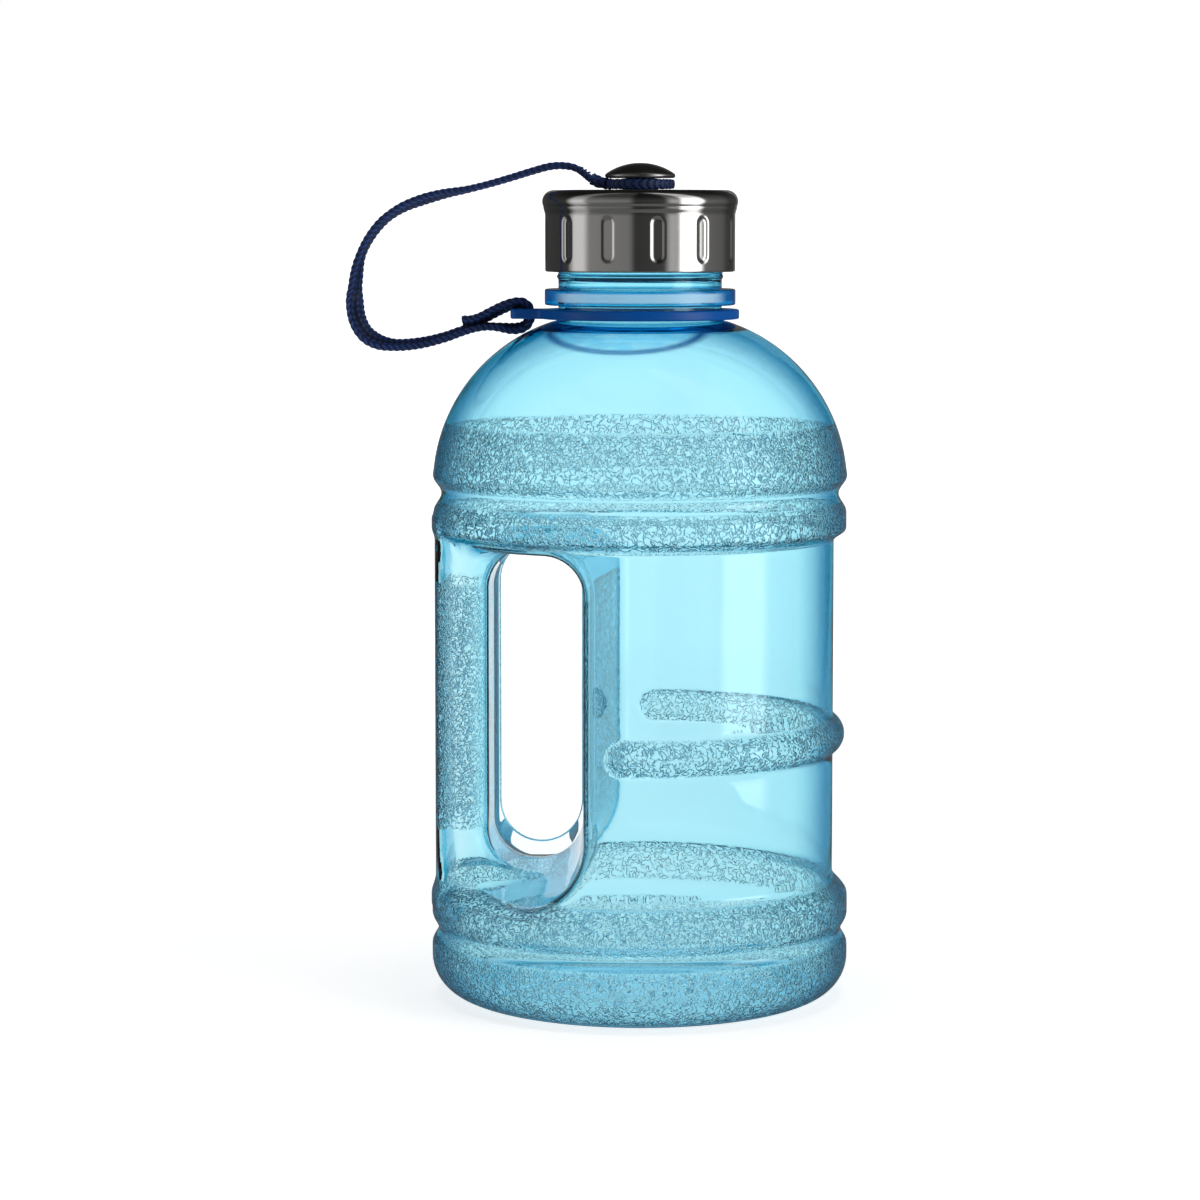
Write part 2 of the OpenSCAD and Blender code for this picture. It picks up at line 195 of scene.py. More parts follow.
class TurnedField:
    """Signed distance to the turned body, looked up in a table over radius and height."""
    STEP, MAX_R, MIN_Z, MAX_Z = 0.25, 74, -4.0, 214

    def __init__(self, path):
        r = np.arange(0, self.MAX_R, self.STEP)
        z = np.arange(self.MIN_Z, self.MAX_Z, self.STEP)
        rr, zz = np.meshgrid(r, z, indexing="ij")
        best = np.full(rr.shape, 1e9)
        inside = np.zeros(rr.shape, bool)
        loop = path + [(0.0, path[-1][1])]
        for (ax, az), (bx, bz) in zip(loop[:-1], loop[1:]):
            ex, ez = bx - ax, bz - az
            t = np.clip(((rr - ax) * ex + (zz - az) * ez) / max(ex * ex + ez * ez, 1e-9), 0, 1)
            best = np.minimum(best, np.hypot(rr - ax - t * ex, zz - az - t * ez))
            if az != bz:
                cross = ((az > zz) != (bz > zz)) & (rr < ax + (zz - az) * ex / ez)
                inside ^= cross
        self.table = np.where(inside, -best, best)

    def __call__(self, r, z):
        u = np.clip(r / self.STEP, 0, self.table.shape[0] - 1.001)
        v = np.clip((z - self.MIN_Z) / self.STEP, 0, self.table.shape[1] - 1.001)
        i, j = u.astype(int), v.astype(int)
        fu, fv = u - i, v - j
        t = self.table
        return ((t[i, j] * (1 - fu) + t[i + 1, j] * fu) * (1 - fv)
                + (t[i, j + 1] * (1 - fu) + t[i + 1, j + 1] * fu) * fv)


turned = TurnedField(side_path())


def recess_block(x, y, z):
    """The two drafted recesses, before the grip's column is left standing in them."""
    far = np.abs(y) / HOLE_REACH
    wall = (x + HOLE_WALL_X - HOLE_DRAFT * far) / math.hypot(1, HOLE_DRAFT / HOLE_REACH)
    floor = HOLE_FLOOR_Z - HOLE_DROP * far - z
    ceiling = z - HOLE_TOP_Z - HOLE_RISE * far
    low = round_max(wall, floor, RECESS_LOW_R + RECESS_LOW_R * far)
    return round_max(low, ceiling, RECESS_HIGH_R)


def grip_column(x, y):
    """Section of the grip in plan: flat sides and a rounded inner face."""
    return round_max(np.abs(y) - GRIP_HALF, x + GRIP_IN_X, GRIP_CORNER_R)


def rib_field(x, y, z):
    """A rounded bar bent round the wall, with ball ends."""
    path_r = RIB_R - RIB_BAR_R
    end_x = RIB_END_X + RIB_END_BACK
    end_y = math.sqrt(path_r ** 2 - end_x ** 2)
    r = np.hypot(x, y)
    along = x / np.maximum(r, 1e-6) * path_r >= end_x
    off = np.where(along, np.abs(r - path_r), np.hypot(x - end_x, np.abs(y) - end_y))
    return np.hypot(off, z - RIB_Z) - RIB_BAR_R


def shell_field(x, y, z):
    """The body's outside, without the web."""
    r = np.hypot(x, y)
    body = turned(r, z)
    bulge = np.maximum.reduce([r - GRIP_R, np.abs(y) - GRIP_HALF - 1, x + GRIP_IN_X,
                               BULGE_Z[0] - z, z - BULGE_Z[1]])
    body = round_min(body, bulge, BULGE_FILLET)
    body = round_min(body, rib_field(x, y, z), RIB_FILLET)
    recess = round_max(recess_block(x, y, z), -grip_column(x, y), COLUMN_FILLET)
    return round_max(body, -recess, RECESS_EDGE_R)


def void_field(x, y, z):
    return shell_field(x, y, z) + WALL


def spaced(*stretches):
    """Grid lines from a start, through (end, step) stretches."""
    lines = [stretches[0]]
    for end, step in stretches[1:]:
        n = max(1, round((end - lines[-1]) / step))
        lines += list(np.linspace(lines[-1], end, n + 1)[1:])
    return np.array(lines)


class PolarNet:
    """Surface net of a field on a grid of radius, angle and height, moved onto the surface."""

    def __init__(self, field, rs, zs, count):
        self.field, self.count = field, count
        th = 2 * np.pi * np.arange(count) / count
        rr, tt, zz = np.meshgrid(rs, th, zs, indexing="ij")
        f = field(rr * np.cos(tt), rr * np.sin(tt), zz)
        f = np.concatenate([f, f[:, :1]], axis=1)
        neg = f < 0
        corners = [(a, b, c) for a in (0, 1) for b in (0, 1) for c in (0, 1)]
        nr, nt, nz = f.shape
        total = sum(neg[a:nr - 1 + a, b:nt - 1 + b, c:nz - 1 + c].astype(np.int8) for a, b, c in corners)
        ci, cj, ck = np.nonzero((total > 0) & (total < 8))
        index = np.full((nr - 1, nt - 1, nz - 1), -1)
        index[ci, cj, ck] = np.arange(len(ci))
        val = {c: f[ci + c[0], cj + c[1], ck + c[2]] for c in corners}
        acc, hits = np.zeros((len(ci), 3)), np.zeros(len(ci))
        for a in corners:
            for axis in range(3):
                if a[axis]:
                    continue
                b = tuple(1 if k == axis else a[k] for k in range(3))
                fa, fb = val[a], val[b]
                cut = (fa < 0) != (fb < 0)
                t = np.where(cut, fa / np.where(cut, fa - fb, 1), 0)
                p = np.tile(np.array(a, float), (len(ci), 1))
                p[:, axis] += t
                acc += p * cut[:, None]
                hits += cut
        acc /= hits[:, None]
        step_th = 2 * np.pi / count
        r = rs[ci] + acc[:, 0] * (rs[ci + 1] - rs[ci])
        a = (cj + acc[:, 1]) * step_th
        z = zs[ck] + acc[:, 2] * (zs[ck + 1] - zs[ck])
        self.cells = np.stack([ci, cj, ck], 1)
        self.verts = self.project(np.stack([r * np.cos(a), r * np.sin(a), z], 1))
        quads = []
        wrap = nt - 1
        i, j, k = np.nonzero(neg[:-1, :-1, :] != neg[1:, :-1, :])
        ok = (k > 0) & (k < nz - 1)
        i, j, k = i[ok], j[ok], k[ok]
        quads.append(np.stack([index[i, (j - 1) % wrap, k - 1], index[i, j, k - 1], index[i, j, k],
                               index[i, (j - 1) % wrap, k]], 1))
        i, j, k = np.nonzero(neg[:, :-1, :] != neg[:, 1:, :])
        ok = (k > 0) & (k < nz - 1) & (i > 0) & (i < nr - 1)
        i, j, k = i[ok], j[ok], k[ok]
        quads.append(np.stack([index[i - 1, j, k - 1], index[i, j, k - 1], index[i, j, k],
                               index[i - 1, j, k]], 1))
        i, j, k = np.nonzero(neg[:, :-1, :-1] != neg[:, :-1, 1:])
        ok = (i > 0) & (i < nr - 1)
        i, j, k = i[ok], j[ok], k[ok]
        quads.append(np.stack([index[i - 1, (j - 1) % wrap, k], index[i, (j - 1) % wrap, k],
                               index[i, j, k], index[i - 1, j, k]], 1))
        self.faces = np.concatenate(quads)

    def gradient(self, p, h=0.3):
        g = np.empty_like(p)
        for axis in range(3):
            d = np.zeros(3)
            d[axis] = h
            g[:, axis] = (self.field(*(p + d).T) - self.field(*(p - d).T)) / (2 * h)
        return g

    def project(self, p):
        for _ in range(4):
            g = self.gradient(p)
            move = self.field(*p.T)[:, None] * g / np.maximum((g * g).sum(1), 0.2)[:, None]
            length = np.linalg.norm(move, axis=1)[:, None]
            p = p - move * np.minimum(1, 0.6 / np.maximum(length, 1e-9))
        return p

    def rims(self):
        """The open rings, each as vertex indices in order of angle, sorted from low to high."""
        e = np.sort(np.concatenate([self.faces[:, [a, (a + 1) % 4]] for a in range(4)]), axis=1)
        edges, uses = np.unique(e, axis=0, return_counts=True)
        loose = np.unique(edges[uses == 1])
        rings = {}
        for v in loose:
            i, j, k = self.cells[v]
            rings.setdefault((k, i), {})[j] = v
        full = [[ring[j] for j in range(self.count)] for ring in rings.values()
                if len(ring) == self.count]
        return sorted(full, key=lambda ring: self.verts[ring[0], 2])


def thread_height(a, z):
    """How far the thread stands out of the neck at angle a and height z."""
    turn = (z - THREAD_Z) / PITCH - a / (2 * np.pi)
    along = np.round(turn) + a / (2 * np.pi)
    off = np.abs(z - THREAD_Z - along * PITCH)
    ridge = np.clip((0.95 - off) / 0.5, 0, 1)
    lead = np.clip(along / 0.12, 0, 1) * np.clip((THREAD_TURNS - along) / 0.12, 0, 1)
    return (THREAD_R - NECK_R) * (ridge * ridge * (3 - 2 * ridge)) * lead


def neck_outside(start_r):
    """Outline of the outside from the dome at start_r up to the rim."""
    path = [(r, dome_z(r)) for r in np.linspace(start_r, NECK_R + 2.2, 12)]
    path += arc((NECK_R + 1.6, dome_z(NECK_R + 2.2) + 1.7), 1.6, 245, 180, 5)
    c = 0.55
    path += [(NECK_R, FLANGE_Z[0] - 0.5)] + arc((NECK_R + 0.4, FLANGE_Z[0] - 0.4), 0.4, 180, 90, 3)
    path += arc((FLANGE_R - c, FLANGE_Z[0] + c), c, -90, 0, 4)
    path += [(FLANGE_R, FLANGE_Z[0] + 0.9), (FLANGE_R, FLANGE_Z[0] + 1.4)]
    path += [(FLANGE_R, FLANGE_Z[1] - 1.4), (FLANGE_R, FLANGE_Z[1] - 0.9)]
    path += arc((FLANGE_R - c, FLANGE_Z[1] - c), c, 0, 90, 4)
    path += arc((NECK_R + 0.5, FLANGE_Z[1] + 0.5), 0.5, 270, 180, 3)
    path += [(NECK_R, FLANGE_Z[1] + 1), (NECK_R, FLANGE_Z[1] + 2.6)]
    path += arc((NECK_R - 0.3, FLANGE_Z[1] + 3.8), 0.75, -60, 60, 8)[1:-1]
    path += [(NECK_R, z) for z in np.arange(THREAD_Z + 0.3, THREAD_Z + THREAD_TURNS * PITCH + 1.4, 0.3)]
    path += [(NECK_R, RIM_Z - 3), (NECK_R, RIM_Z - 0.6)]
    return path + arc((NECK_R - 0.6, RIM_Z - 0.6), 0.6, 0, 90, 4)


def neck_inside(end_r):
    """Outline of the inside from the rim down to the inner dome at end_r."""
    path = arc((MOUTH_R + 0.5, RIM_Z - 0.5), 0.5, 90, 180, 4)
    path += [(MOUTH_R, z) for z in np.linspace(RIM_Z - 3, 211, 8)]
    path += ease((MOUTH_R, 209.5), (MOUTH_R + 1.2, 207.0), 6)
    path += [(NECK_R + 1.5, 206.75), (NECK_R + 4.0, 206.6)]
    return path + [(r, dome_z(r, WALL)) for r in np.linspace(NECK_R + 7.2, end_r, 8)]


def emboss_mask(p):
    """Where the mould is embossed: 1 on the bands, the rib, the grip and the recess walls."""
    x, y, z = p.T
    r = np.hypot(x, y)

    def between(v, lo, hi, soft=0.7):
        return np.clip((v - lo) / soft, 0, 1) * np.clip((hi - v) / soft, 0, 1)

    bands = sum(between(z, *band) for band in EMBOSS_BANDS) * between(r, EMBOSS_MIN_R, 90)
    rib = np.clip((r - WALL_R - 0.5) / 0.6, 0, 1) * between(z, RIB_Z - 7, RIB_Z + 7)
    rib *= x > EMBOSS_RIB_X
    grip = between(z, *EMBOSS_GRIP_Z) * np.clip((EMBOSS_GRIP_X - x) / 5, 0, 1)
    # The emboss, with its bump and painted groove shade, fades to BACK_EMBOSS on the back half.
    back_fade = BACK_EMBOSS + (1 - BACK_EMBOSS) * np.clip((10 - y) / 20, 0, 1)
    return np.clip((bands + rib + grip) * back_fade + recess_wall(p), 0, 1)


def recess_wall(p):
    """Where the two recesses' inner walls are embossed: 1 there, fading out at the bottom."""
    x, y, z = p.T
    wall = np.abs(x + HOLE_WALL_X - HOLE_DRAFT * np.abs(y) / HOLE_REACH)
    height = np.clip((EMBOSS_WALL_Z[1] - z) / 0.7, 0, 1) * np.clip((z - EMBOSS_WALL_Z[0]) / 14, 0, 1)
    side = (np.abs(y) > EMBOSS_WALL_Y[0]) * (np.abs(y) < EMBOSS_WALL_Y[1])
    return height * np.clip(EMBOSS_WALL_DEPTH - wall, 0, 1) * side


def round_corners(x0, x1, z0, z1, radii, n=12):
    """A rounded rectangle from its lower right corner, anticlockwise, with n + 1 points a corner."""
    low_r, high_r, far_high, far_low = radii
    return (arc((x1 - low_r, z0 + low_r), low_r, -90, 0, n)
            + arc((x1 - high_r, z1 - high_r), high_r, 0, 90, n)
            + arc((x0 + far_high, z1 - far_high), far_high, 90, 180, n)
            + arc((x0 + far_low, z0 + far_low), far_low, 180, 270, n))


def make_web():
    """The thin web that the mould pinches across the parting plane, trimmed to the hand hole."""
    lap, bevel, half = WALL / 2, 0.4, WEB_T / 2
    hole_x = -HOLE_WALL_X - 0.4 - TRIM_R
    wide_r, middle_z, straight = RECESS_LOW_R + 0.6, 95, 40
    outside = round_corners(-GRIP_IN_X - lap, -HOLE_WALL_X + lap, HOLE_FLOOR_Z - lap, HOLE_TOP_Z + lap,
                            (wide_r, RECESS_HIGH_R + 0.6, wide_r, wide_r))
    hole = [(x, min(z, HOLE_TOP_Z - 0.6)) for x, z in
            round_corners(hole_x - TRIM_R, hole_x + TRIM_R, TRIM_Z[0] - TRIM_R, TRIM_Z[1] + TRIM_R,
                          (TRIM_R,) * 4)]
    wide = []
    for x, z in hole:
        past_end = abs(z - middle_z) > straight
        wide.append((hole_x + (x - hole_x) * (1 + bevel / TRIM_R),
                     z + math.copysign(bevel, z - middle_z) * past_end))
    verts, faces = [], []
    for loop, y in ((outside, -half), (wide, -half), (hole, bevel - half), (hole, half - bevel),
                    (wide, half), (outside, half)):
        verts += [(x, y, z) for x, z in loop]
    n = len(outside)
    rows = [list(range(i * n, (i + 1) * n)) for i in range(6)]
    for a, b in zip(rows, rows[1:] + rows[:1]):
        faces += ring_faces(a, b, n)
    obj = mesh_object("hole_web", verts, faces)
    outward(obj)
    obj.data.set_sharp_from_angle(angle=math.radians(40))
    return obj


def make_jug():
    count = 216
    zs = spaced(-1.5, (19.5, 1.1), (41, 1.0), (60, 1.3), (120, 1.7), (141, 1.3), (166, 1.0), (205.5, 1.6))
    rs = spaced(8.0, (46, 1.5), (67, 1.1))
    outer = PolarNet(shell_field, rs, zs, count)
    void = PolarNet(void_field, rs, zs, count)
    verts = [outer.verts, void.verts]
    shift = len(outer.verts)
    faces = [tuple(f) for f in outer.faces] + [tuple(f + shift) for f in void.faces]
    total = shift + len(void.verts)
    base_out, dome_out = outer.rims()[0], outer.rims()[-1]
    base_in, dome_in = [[v + shift for v in ring] for ring in (void.rims()[0], void.rims()[-1])]

    def add_ring(row):
        nonlocal total
        verts.append(row)
        total += len(row)
        return list(range(total - len(row), total))

    def radius(ring):
        return float(np.hypot(*np.concatenate(verts)[ring[0]][:2]))

    ring = dome_out
    for row in lathe_rows(neck_outside(radius(dome_out) - 1.5), count):
        a = np.arctan2(row[:, 1], row[:, 0]) % (2 * np.pi)
        if abs(math.hypot(row[0, 0], row[0, 1]) - NECK_R) < 1e-3:
            grow = 1 + thread_height(a, row[:, 2]) / NECK_R
            row[:, :2] *= grow[:, None]
        new = add_ring(row)
        faces += ring_faces(ring, new, count)
        ring = new
    inside_from = total
    for row in lathe_rows(neck_inside(radius(dome_in) - 1.2), count):
        new = add_ring(row)
        faces += ring_faces(ring, new, count)
        ring = new
    faces += ring_faces(ring, dome_in, count)
    for base, inset in ((base_out, 0.0), (base_in, WALL)):
        z = float(np.concatenate(verts)[base[0]][2])
        mid = add_ring(lathe_rows([(4.0, z + (PUSH_UP + inset - z) * 0.75)], count)[0])
        faces += ring_faces(base, mid, count)
        tip = add_ring(np.array([[0, 0, PUSH_UP + inset]]))[0]
        faces += [(mid[j], mid[(j + 1) % count], tip) for j in range(count)]
    verts = np.concatenate(verts)
    obj = mesh_object("jug_shell", verts, faces)
    outward(obj)
    mask = emboss_mask(verts)
    mask[shift:shift + len(void.verts)] = 0
    mask[inside_from:] = 0
    point_value(obj, "emboss", mask)
    # Painted shade on the recess walls, kept as a point value for the material.
    recess_shade = recess_wall(verts) * (np.arange(len(verts)) < shift)
    point_value(obj, "recess_shade", recess_shade)
    r = np.hypot(verts[:, 0], verts[:, 1])
    z = verts[:, 2]
    point_value(obj, "frost", (r > FLANGE_R - 0.2) & (z > FLANGE_Z[0] + 1.2) & (z < FLANGE_Z[1] - 1.2))
    return obj


# ---- Materials. Lengths are in metres, and noise scales are per metre ----
PLASTIC_COLOR = (0.03, 0.785, 0.93, 1)
PLASTIC_DENSITY, RIPPLE_SCALE, RIPPLE_DEPTH = 330.0, 38.0, 0.00018
WORM_SCALE, WORM_DEPTH, WORM_SHARPNESS = 640.0, 0.00036, 9.5
# These three tints are painted shade: at grazing edges, in the emboss grooves and on the recess walls.
EDGE_SHADE_TINT, GROOVE_SHADE_TINT, RECESS_SHADE_TINT = (0.0, 0.28, 0.49), (0.0, 0.09, 0.18), (0.0, 0.26, 0.56)
# The crescent on the dome's front is a painted reflection: a dark rim round a lighter, streaked inside.
CRESCENT_REFLECTION_TINT, CRESCENT_REFLECTION_RIM_TINT = (0.15, 0.66, 0.93), (0.0, 0.10, 0.30)
# The frosted band also has painted light: a faint glow.
FROST_TINT, PAINTED_GLOW_COLOR, FROST_PAINTED_GLOW = (0.52, 0.76, 0.88), (0.42, 0.72, 0.90, 1), 0.30
# the crescent's middle, x and z, and its half width and height
CRESCENT = (-0.0026, 0.2080, 0.0236, 0.0062)
CRESCENT_TOP_Z, CRESCENT_RIM_WIDTH = 0.2084, 0.14


def math_node(tree, op, values, clamp=False):
    """A Math node in a tree. Each value is a number, or a socket that gives one."""
    node = tree.nodes.new("ShaderNodeMath")
    node.operation = op
    node.use_clamp = clamp
    for socket, value in zip(node.inputs, values):
        if isinstance(value, (int, float)):
            socket.default_value = value
        elif value is not None:
            tree.links.new(value, socket)
    return node.outputs[0]


class Nodes:
    """A material's node tree, with short calls to add and join nodes."""

    def __init__(self, name):
        self.mat = bpy.data.materials.new(name)
        self.mat.use_nodes = True
        self.tree = self.mat.node_tree
        self.shader = self.tree.nodes["Principled BSDF"]
        self.output = self.tree.nodes["Material Output"]

    def add(self, kind, **values):
        node = self.tree.nodes.new(kind)
        for key, value in values.items():
            if hasattr(node, key) and key not in node.inputs:
                setattr(node, key, value)
            else:
                node.inputs[key].default_value = value
        return node

    def join(self, a, b):
        self.tree.links.new(a, b)

    def math(self, op, a, b=None, c=None, clamp=False):
        return math_node(self.tree, op, (a, b, c), clamp)

    def attribute(self, name):
        return self.add("ShaderNodeAttribute", attribute_name=name).outputs["Fac"]

    def set(self, **values):
        for key, value in values.items():
            self.shader.inputs[key.replace("_", " ")].default_value = value

    def bump(self, height, distance, strength=1.0, normal=None):
        node = self.add("ShaderNodeBump", Strength=strength, Distance=distance)
        self.join(height, node.inputs["Height"])
        if normal is not None:
            self.join(normal, node.inputs["Normal"])
        return node.outputs["Normal"]

    def smooth(self, value, low, high):
        """0 below low, 1 above high, and a smooth step between them."""
        node = self.add("ShaderNodeMapRange", interpolation_type="SMOOTHSTEP")
        self.join(value, node.inputs["Value"])
        node.inputs["From Min"].default_value = low
        node.inputs["From Max"].default_value = high
        return node.outputs["Result"]

    def blend(self, factor, a, b):
        """A colour that runs from a to b. Each end is a colour, or a socket that gives one."""
        node = self.add("ShaderNodeMix", data_type="RGBA")
        self.join(factor, node.inputs["Factor"])
        for key, value in (("A", a), ("B", b)):
            if isinstance(value, tuple):
                node.inputs[key].default_value = (*value, 1)
            else:
                self.join(value, node.inputs[key])
        return node.outputs["Result"]

    def coords(self, scale=(1, 1, 1)):
        tex = self.add("ShaderNodeTexCoord")
        mapping = self.add("ShaderNodeMapping")
        mapping.inputs["Scale"].default_value = scale
        self.join(tex.outputs["Object"], mapping.inputs["Vector"])
        return mapping.outputs["Vector"]

    def noise(self, vector, scale, detail=2.0, roughness=0.5, distortion=0.0):
        node = self.add("ShaderNodeTexNoise", Scale=scale, Detail=detail, Roughness=roughness,
                        Distortion=distortion)
        self.join(vector, node.inputs["Vector"])
        return node.outputs["Fac"]


def clear_plastic():
    """Clear aqua plastic: tinted in depth, with a leather-like emboss, and painted shade that deepens the
    tint at grazing angles.
    """
    n = Nodes("clear_blue_plastic")
    n.set(IOR=1.50)
    volume = n.add("ShaderNodeVolumeAbsorption", Color=PLASTIC_COLOR, Density=PLASTIC_DENSITY)
    n.join(volume.outputs["Volume"], n.output.inputs["Volume"])
    mask = n.attribute("emboss")
    frost = n.attribute("frost")
    place = n.coords()
    worms = n.noise(place, WORM_SCALE, detail=0.6, roughness=0.4, distortion=0.8)
    ridges = n.math("ABSOLUTE", n.math("SUBTRACT", worms, 0.5))
    ridges = n.math("MULTIPLY", ridges, WORM_SHARPNESS, clamp=True)
    height = n.math("MULTIPLY", ridges, mask)
    soft = n.bump(n.noise(place, RIPPLE_SCALE, detail=1.5), RIPPLE_DEPTH)
    n.join(n.bump(height, WORM_DEPTH, normal=soft), n.shader.inputs["Normal"])
    # Painted shade: the colour darkens towards grazing angles, standing in for the darker edges of the
    # clear body.
    facing = n.add("ShaderNodeLayerWeight", Blend=0.5).outputs["Facing"]
    edge = n.smooth(facing, 0.38, 0.84)
    tint = n.blend(edge, (0.99, 1.0, 1.0), EDGE_SHADE_TINT)
    # Painted shade: the recess walls are darkened towards grazing angles, broken up by noise.
    recess_shade = n.attribute("recess_shade")
    fine = n.math("MULTIPLY_ADD", n.noise(place, 800.0, detail=2.0), 1.8, -0.3, clamp=True)
    recess_shade = n.math("MULTIPLY", n.math("MULTIPLY", recess_shade, edge), fine)
    tint = n.blend(recess_shade, tint, RECESS_SHADE_TINT)
    # Painted shade: the emboss grooves are darkened in the colour, more so towards grazing angles; the
    # relief itself is only bump.
    groove = n.math("MULTIPLY", n.math("SUBTRACT", 1.0, ridges), mask)
    sides = n.math("MULTIPLY_ADD", n.smooth(facing, 0.12, 0.65), 0.12, 0.88)
    groove = n.math("MULTIPLY", n.math("POWER", groove, 1.3), sides)
    dark = n.blend(groove, tint, GROOVE_SHADE_TINT)
    # Painted reflection: a crescent on the dome's front.
    rim, inside = crescent_reflection(n)
    lens = n.blend(n.math("MULTIPLY", inside, 0.6), dark, CRESCENT_REFLECTION_TINT)
    lens = n.blend(rim, lens, CRESCENT_REFLECTION_RIM_TINT)
    # The flange's frosted band is rougher, paler and less clear, with painted light on it: a faint glow,
    # fading out towards its grazing edges as painted shade.
    frost = n.math("MULTIPLY", frost, n.math("SUBTRACT", 1.0, n.smooth(facing, 0.30, 0.60)))
    pale = n.blend(frost, lens, FROST_TINT)
    n.join(pale, n.shader.inputs["Base Color"])
    n.join(n.math("MULTIPLY_ADD", frost, 0.3, 0.02), n.shader.inputs["Roughness"])
    n.join(n.math("MULTIPLY_ADD", frost, -0.6, 1.0), n.shader.inputs["Transmission Weight"])
    n.shader.inputs["Emission Color"].default_value = PAINTED_GLOW_COLOR
    n.join(n.math("MULTIPLY", frost, FROST_PAINTED_GLOW), n.shader.inputs["Emission Strength"])
    return n.mat


def crescent_reflection(n):
    """A painted reflection on the dome below the neck, shaped as a crescent: its dark rim, and its
    lighter streaked inside.
    """
    split = n.add("ShaderNodeSeparateXYZ")
    n.join(n.coords(), split.inputs[0])
    x, y, z = split.outputs
    across = n.math("DIVIDE", n.math("SUBTRACT", x, CRESCENT[0]), CRESCENT[2])
    down = n.math("DIVIDE", n.math("SUBTRACT", z, CRESCENT[1]), CRESCENT[3])
    d = n.math("SQRT", n.math("ADD", n.math("MULTIPLY", across, across), n.math("MULTIPLY", down, down)))
    front = n.math("MULTIPLY", n.math("LESS_THAN", y, -0.02), n.math("LESS_THAN", z, CRESCENT_TOP_Z))
    from_rim = n.math("ABSOLUTE", n.math("SUBTRACT", d, 1.0))
    rim = n.math("SUBTRACT", 1.0, n.math("DIVIDE", from_rim, CRESCENT_RIM_WIDTH), clamp=True)
    streak = n.noise(n.coords((160, 160, 700)), 1.0, detail=2.0, distortion=0.6)
    within = n.math("MULTIPLY", n.math("SUBTRACT", 1.0, d, clamp=True), 6.0, clamp=True)
    inside = n.math("MULTIPLY", within, n.math("MULTIPLY_ADD", streak, 2.4, -0.5, clamp=True))
    return n.math("MULTIPLY", rim, front), n.math("MULTIPLY", inside, front)


def web_plastic():
    n = Nodes("web_plastic")
    n.set(Base_Color=(0.93, 0.985, 1.0, 1), Roughness=0.03, IOR=1.32, Transmission_Weight=1.0)
    n.join(n.bump(n.noise(n.coords(), 60.0), 0.0001), n.shader.inputs["Normal"])
    return n.mat


def moulded(name, color, roughness, coat=0.0):
    """Opaque moulded plastic with a fine grain and slight colour variation."""
    n = Nodes(name)
    place = n.coords()
    low, high = (tuple(min(1, c * k) for c in color) for k in (0.85, 1.15))
    n.join(n.blend(n.noise(place, 60.0, detail=3.0), low, high), n.shader.inputs["Base Color"])
    n.set(Roughness=roughness, IOR=1.38, Coat_Weight=coat)
    n.join(n.bump(n.noise(place, 1400.0, detail=2.0), 0.00002, 0.5), n.shader.inputs["Normal"])
    return n.mat


def steel(name, color, roughness):
    """Stainless steel with fine brushing round the axis."""
    n = Nodes(name)
    brushed = n.noise(n.coords((60, 60, 5200)), 1.0, detail=3.0, roughness=0.6)
    smear = n.noise(n.coords(), 90.0, detail=2.0)
    rough = n.math("ADD", n.math("MULTIPLY", brushed, 0.08), roughness - 0.07)
    rough = n.math("ADD", rough, n.math("MULTIPLY", smear, 0.06))
    n.join(rough, n.shader.inputs["Roughness"])
    n.set(Base_Color=(*color, 1), Metallic=1.0)
    n.join(n.bump(brushed, 0.000015, 0.6), n.shader.inputs["Normal"])
    return n.mat


def rubber():
    n = Nodes("gasket_rubber")
    n.set(Base_Color=(0.82, 0.85, 0.87, 1), Roughness=0.45, Subsurface_Weight=0.3)
    n.join(n.bump(n.noise(n.coords(), 1200.0), 0.00003, 0.5), n.shader.inputs["Normal"])
    return n.mat


def tinted(name, color, roughness):
    n = Nodes(name)
    n.set(Base_Color=(*color, 1), Roughness=roughness, IOR=1.5, Transmission_Weight=0.75)
    n.join(n.bump(n.noise(n.coords(), 500.0), 0.00003, 0.4), n.shader.inputs["Normal"])
    return n.mat


def braid_cloth(name, color, shade_strands=True):
    """Braided polyester: fine yarn lines over the mesh's own strands, with painted shade where they dip
    and cross and painted highlight on their crowns.
    """
    n = Nodes(name)
    place = n.coords()
    yarn = n.noise(place, 2600.0, detail=2.0, distortion=0.4)
    tone = n.noise(place, 200.0, detail=3.0)
    shade = n.math("MULTIPLY_ADD", yarn, 0.45, n.math("MULTIPLY", tone, 0.55))
    if shade_strands:
        # Painted light: the strands' height darkens the dips and lightens the crowns.
        lift = n.attribute("lift")
        shade = n.math("MULTIPLY", shade, 1.9)
        shade = n.math("MULTIPLY", n.math("MULTIPLY", lift, lift), shade, clamp=True)
    low, high = (tuple(min(1, c * k) for c in color) for k in (0.12, 2.3))
    n.join(n.blend(shade, low, high), n.shader.inputs["Base Color"])
    n.set(Roughness=0.55, Sheen_Weight=0.12, Sheen_Roughness=0.4)
    n.join(n.bump(yarn, 0.00006, 0.8), n.shader.inputs["Normal"])
    return n.mat


